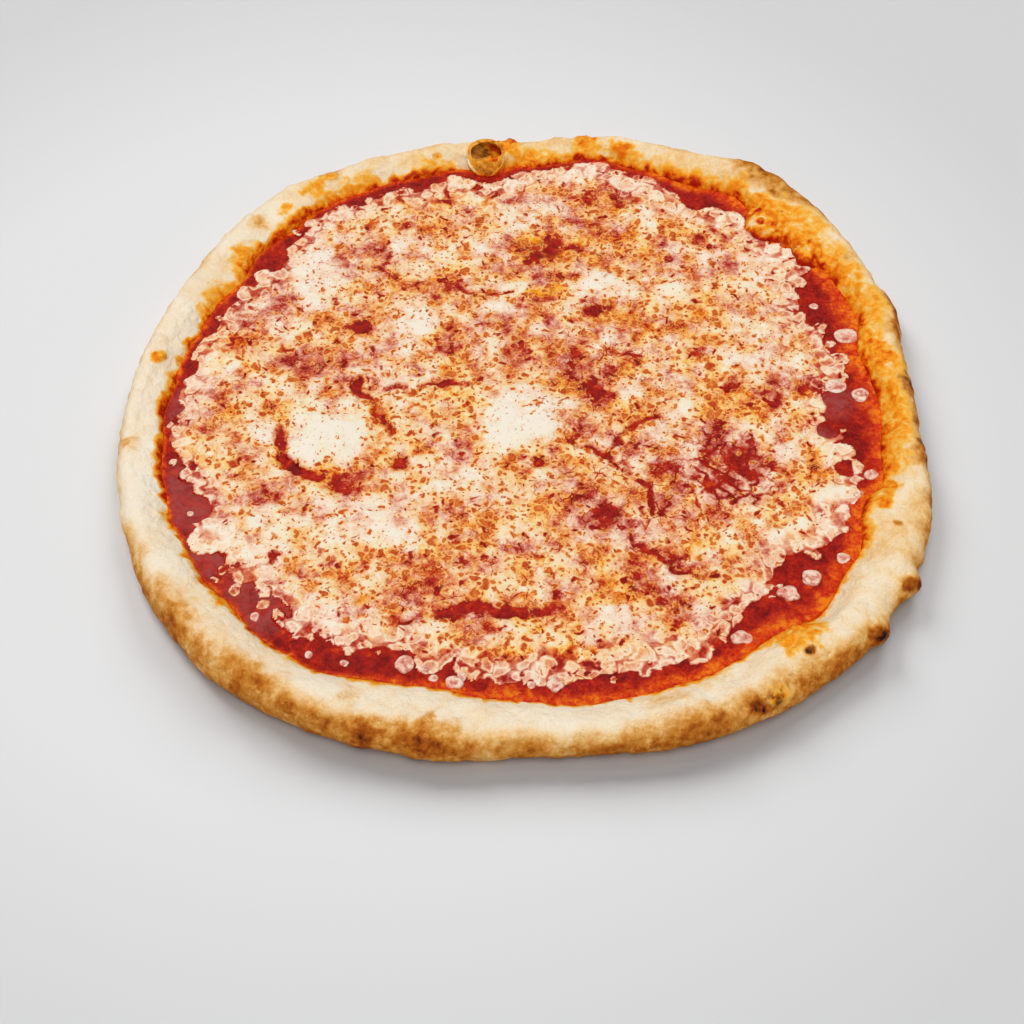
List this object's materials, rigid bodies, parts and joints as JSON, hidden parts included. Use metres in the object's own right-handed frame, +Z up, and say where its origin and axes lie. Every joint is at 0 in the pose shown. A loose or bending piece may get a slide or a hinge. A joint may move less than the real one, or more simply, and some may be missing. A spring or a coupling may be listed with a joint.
{
  "type": "cheese pizza",
  "caption": "Whole round cheese pizza with a puffed, unevenly browned rim, tomato sauce and a melted cheese sheet.",
  "frame": {"origin": "centre of the bounding box in plan, on the flat underside", "axes": "+Z up, out of the cheese; +X to the right and +Y away from the viewer in the picture"},
  "size_m": [0.3446, 0.3492, 0.0159],
  "materials": {
    "crust": "matte baked dough, pale and floury on top, golden brown at the side",
    "sauce": "wet, glossy cooked tomato sauce",
    "cheese": "melted cheese, cream white, speckled red and orange, slightly oily",
    "cheese_drops": "melted cheese, translucent at its edge"
  },
  "bodies": {
    "root": {"crust": "crust", "sauce": "sauce", "cheese": "cheese", "cheese_drop_01": "cheese_drops", "cheese_drop_02": "cheese_drops", "cheese_drop_03": "cheese_drops", "cheese_drop_04": "cheese_drops", "cheese_drop_05": "cheese_drops", "cheese_drop_06": "cheese_drops", "cheese_drop_07": "cheese_drops", "cheese_drop_08": "cheese_drops", "cheese_drop_09": "cheese_drops"}
  },
  "joints": []
}
